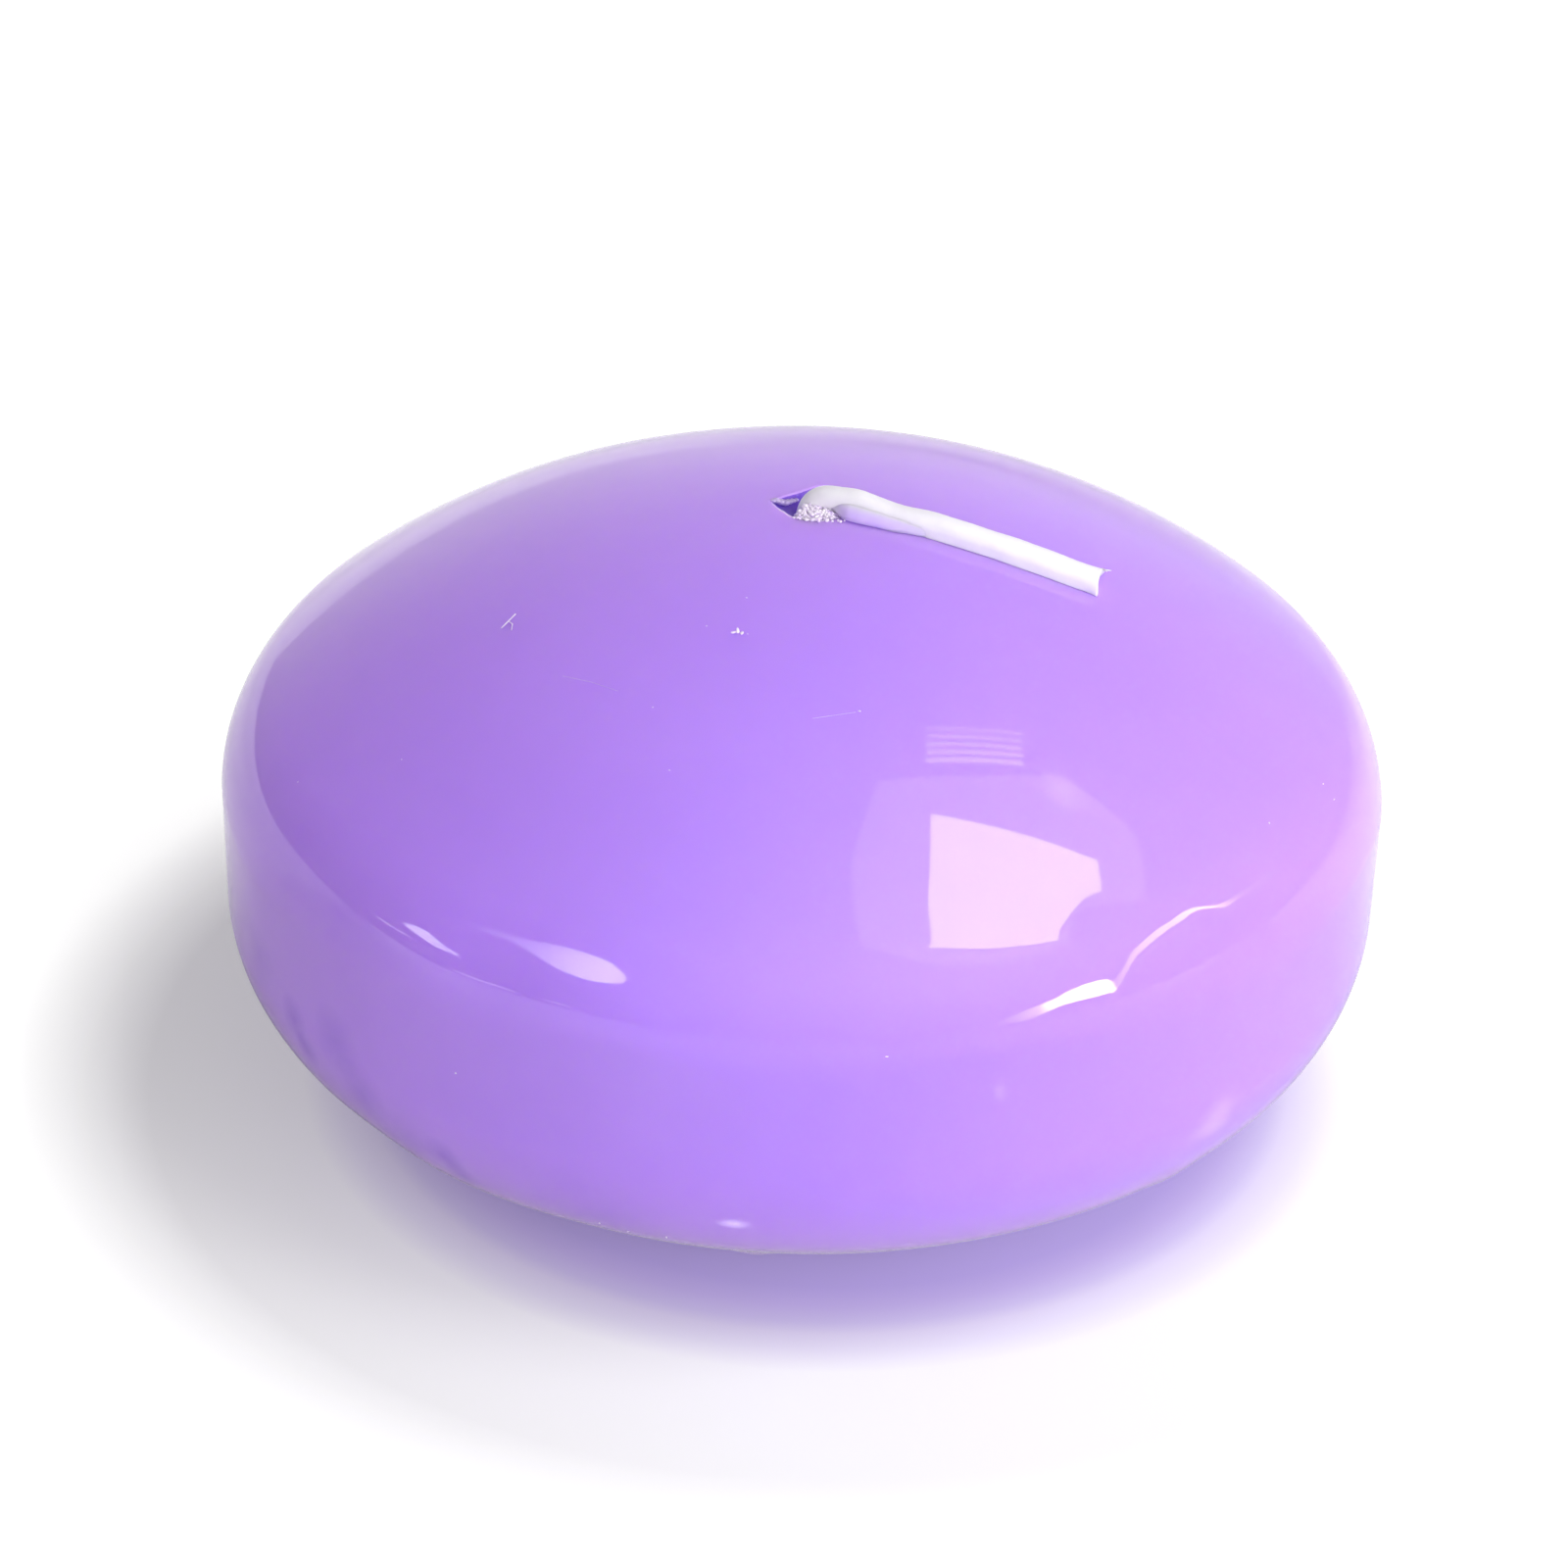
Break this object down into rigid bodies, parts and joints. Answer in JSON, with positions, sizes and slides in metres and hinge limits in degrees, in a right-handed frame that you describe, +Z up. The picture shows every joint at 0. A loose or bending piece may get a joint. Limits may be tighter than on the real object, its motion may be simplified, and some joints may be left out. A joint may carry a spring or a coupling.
{
  "type": "floating candle",
  "caption": "Round floating candle: a glossy lilac wax lens with a domed top, a short upright wall and a bowl-shaped underside, and a white wick that leans over on the dome.",
  "frame": {"origin": "centre of the flat base, on the surface that the candle stands on", "axes": "+Z up along the candle's axis and the upright part of the wick, +X towards the tip of the leaning wick, -Y towards the side seen in the picture"},
  "size_m": [0.0762, 0.0762, 0.042],
  "materials": {
    "wax": "glossy, slightly translucent dipped wax, smooth all over with a few fine specks and scratches",
    "wick_cotton": "white braided cotton, stiff and faintly shiny with wax",
    "tinplate": "bright tinplate, lightly rolled grain"
  },
  "bodies": {
    "root": {"wax_body": "wax", "wick": "wick_cotton", "wick_tab": "tinplate"}
  },
  "joints": []
}
